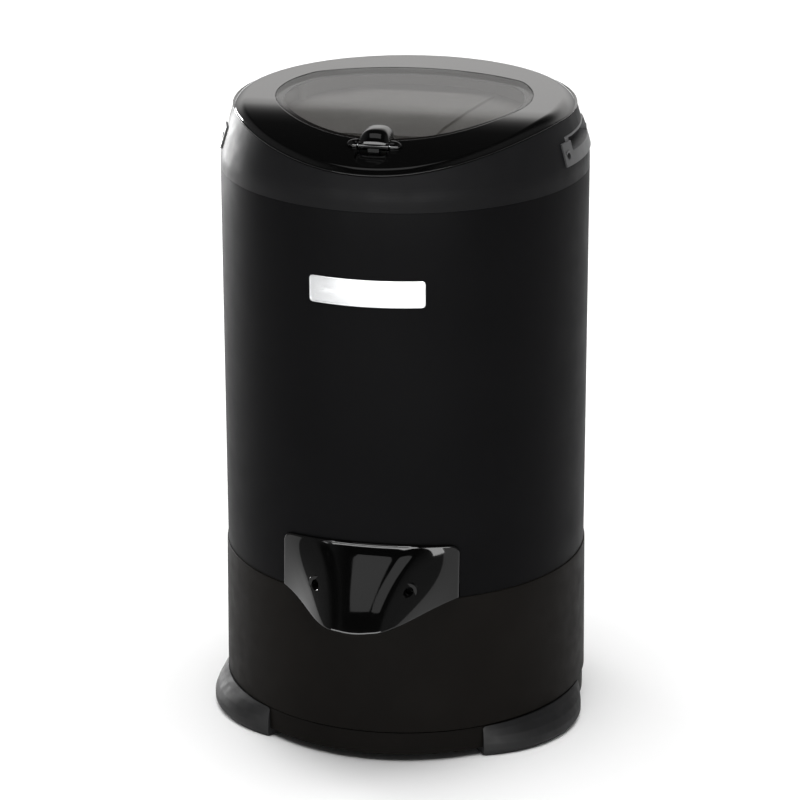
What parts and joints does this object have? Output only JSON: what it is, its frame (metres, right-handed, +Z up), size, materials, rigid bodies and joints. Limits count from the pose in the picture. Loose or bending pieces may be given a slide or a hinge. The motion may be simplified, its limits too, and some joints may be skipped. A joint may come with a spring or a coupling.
{
  "type": "laundry spin dryer",
  "caption": "Free-standing cylindrical laundry spin dryer with a hinged, latched lid and window, top-loading perforated drum, bottom motor with brake, and a front drain spout on moulded feet.",
  "frame": {"origin": "on the floor, in the middle of the footprint, 22.5 mm in front of the drum's axis", "axes": "+Z up along the drum's axis, -Y towards the front with the spout and the latch, +X to the right of someone who faces the front"},
  "size_m": [0.3546, 0.421, 0.594],
  "materials": {
    "black_rubber": "matt moulded rubber",
    "soft_seal": "soft foam and lip rubber",
    "black_paint": "smooth black paint",
    "base_plastic": "fine-grained brown-black moulding",
    "collar_plastic": "fine-grained charcoal moulding",
    "grip_plastic": "fine-grained dark grey moulding",
    "gloss_black": "polished black moulding",
    "smoked_window": "smoked see-through plastic",
    "liner_plastic": "grey moulding",
    "plate_silver": "blank satin plate",
    "tub_plastic": "natural light grey moulding",
    "stainless": "brushed stainless sheet",
    "cast_alloy": "die-cast alloy",
    "grey_steel": "grey-painted pressed steel",
    "dark_steel": "black-painted pressed steel",
    "zinc_steel": "zinc-plated steel",
    "bright_steel": "ground and polished steel",
    "core_iron": "stacked iron sheet",
    "copper_wire": "enamelled copper winding",
    "drum_iron": "turned iron",
    "brake_lining": "pressed friction lining",
    "cable_sheath": "black sheath",
    "switch_plastic": "black moulding",
    "white_plastic": "white moulding",
    "black_screw": "blackened steel"
  },
  "bodies": {
    "root": {"foot_left": "black_rubber", "foot_right": "black_rubber", "foot_rear": "black_rubber", "foot_screws": "zinc_steel", "base_pan": "base_plastic", "lower_ring": "base_plastic", "casing": "black_paint", "collar": "collar_plastic", "mouth_ring": "collar_plastic", "grip_left": "grip_plastic", "grip_right": "grip_plastic", "grip_screws": "zinc_steel", "outlet_spout": "gloss_black", "outlet_screws": "black_screw", "outlet_pipe": "switch_plastic", "nameplate": "plate_silver", "cord_gland": "switch_plastic", "inner_tub": "tub_plastic", "tub_gasket": "soft_seal", "tub_cover": "tub_plastic", "tub_screws": "zinc_steel", "shaft_bellows": "black_rubber", "motor_plate": "grey_steel", "buffers": "black_rubber", "buffer_studs": "zinc_steel", "motor_housing": "cast_alloy", "motor_end_cap": "cast_alloy", "stator_core": "core_iron", "stator_windings": "copper_wire", "bearing_upper": "bright_steel", "bearing_lower": "bright_steel", "brake_bracket": "grey_steel", "brake_spring": "zinc_steel", "brake_cable": "cable_sheath", "cable_clips": "switch_plastic", "capacitor": "white_plastic", "capacitor_clip": "zinc_steel", "terminal_box": "switch_plastic", "interlock_switch": "switch_plastic", "catch_plate": "zinc_steel", "hinge_bracket": "dark_steel", "hinge_pin": "bright_steel"},
    "lid": {"lid_shell": "gloss_black", "lid_window": "smoked_window", "lid_liner": "liner_plastic", "lid_seal": "soft_seal", "lid_hinge_leaf": "dark_steel", "liner_screws": "zinc_steel", "latch_pin": "bright_steel", "latch_spring": "zinc_steel"},
    "latch": {"latch_lever": "gloss_black"},
    "drum": {"drum_basket": "stainless", "drum_hub": "cast_alloy", "drive_shaft": "bright_steel", "rotor": "core_iron", "brake_drum": "drum_iron", "hub_nut": "zinc_steel"},
    "brake": {"brake_lever": "grey_steel", "brake_shoe": "brake_lining"},
    "plunger": {"interlock_plunger": "white_plastic"}
  },
  "joints": [
    {"name": "lid_hinge", "type": "hinge", "parent": "root", "child": "lid", "pos_m": [0, 0.181, 0.584], "axis": [-1, 0, 0], "range_deg": [0, 95]},
    {"name": "latch_lever", "type": "hinge", "parent": "lid", "child": "latch", "pos_m": [0, -0.1085, 0.58048], "axis": [1, 0, 0], "range_deg": [0, 22], "stiffness_Nm_per_rad": 0.15, "springref_deg": -14.32},
    {"name": "drum_spin", "type": "hinge", "parent": "root", "child": "drum", "pos_m": [0, 0.0225, 0.25], "axis": [0, 0, 1], "continuous": true},
    {"name": "brake_lever", "type": "hinge", "parent": "root", "child": "brake", "pos_m": [0.075, 0.0525, 0.053], "axis": [0, 0, -1], "range_deg": [0, 2.85]},
    {"name": "interlock_plunger", "type": "slide", "parent": "root", "child": "plunger", "axis": [0, 0, 1], "range_m": [0, 0.003]}
  ],
  "couplings": [
    {"joint": "brake_lever", "follows": "lid_hinge", "ratio": 0.0295},
    {"joint": "interlock_plunger", "follows": "lid_hinge", "m_per_rad": 0.0018}
  ]
}
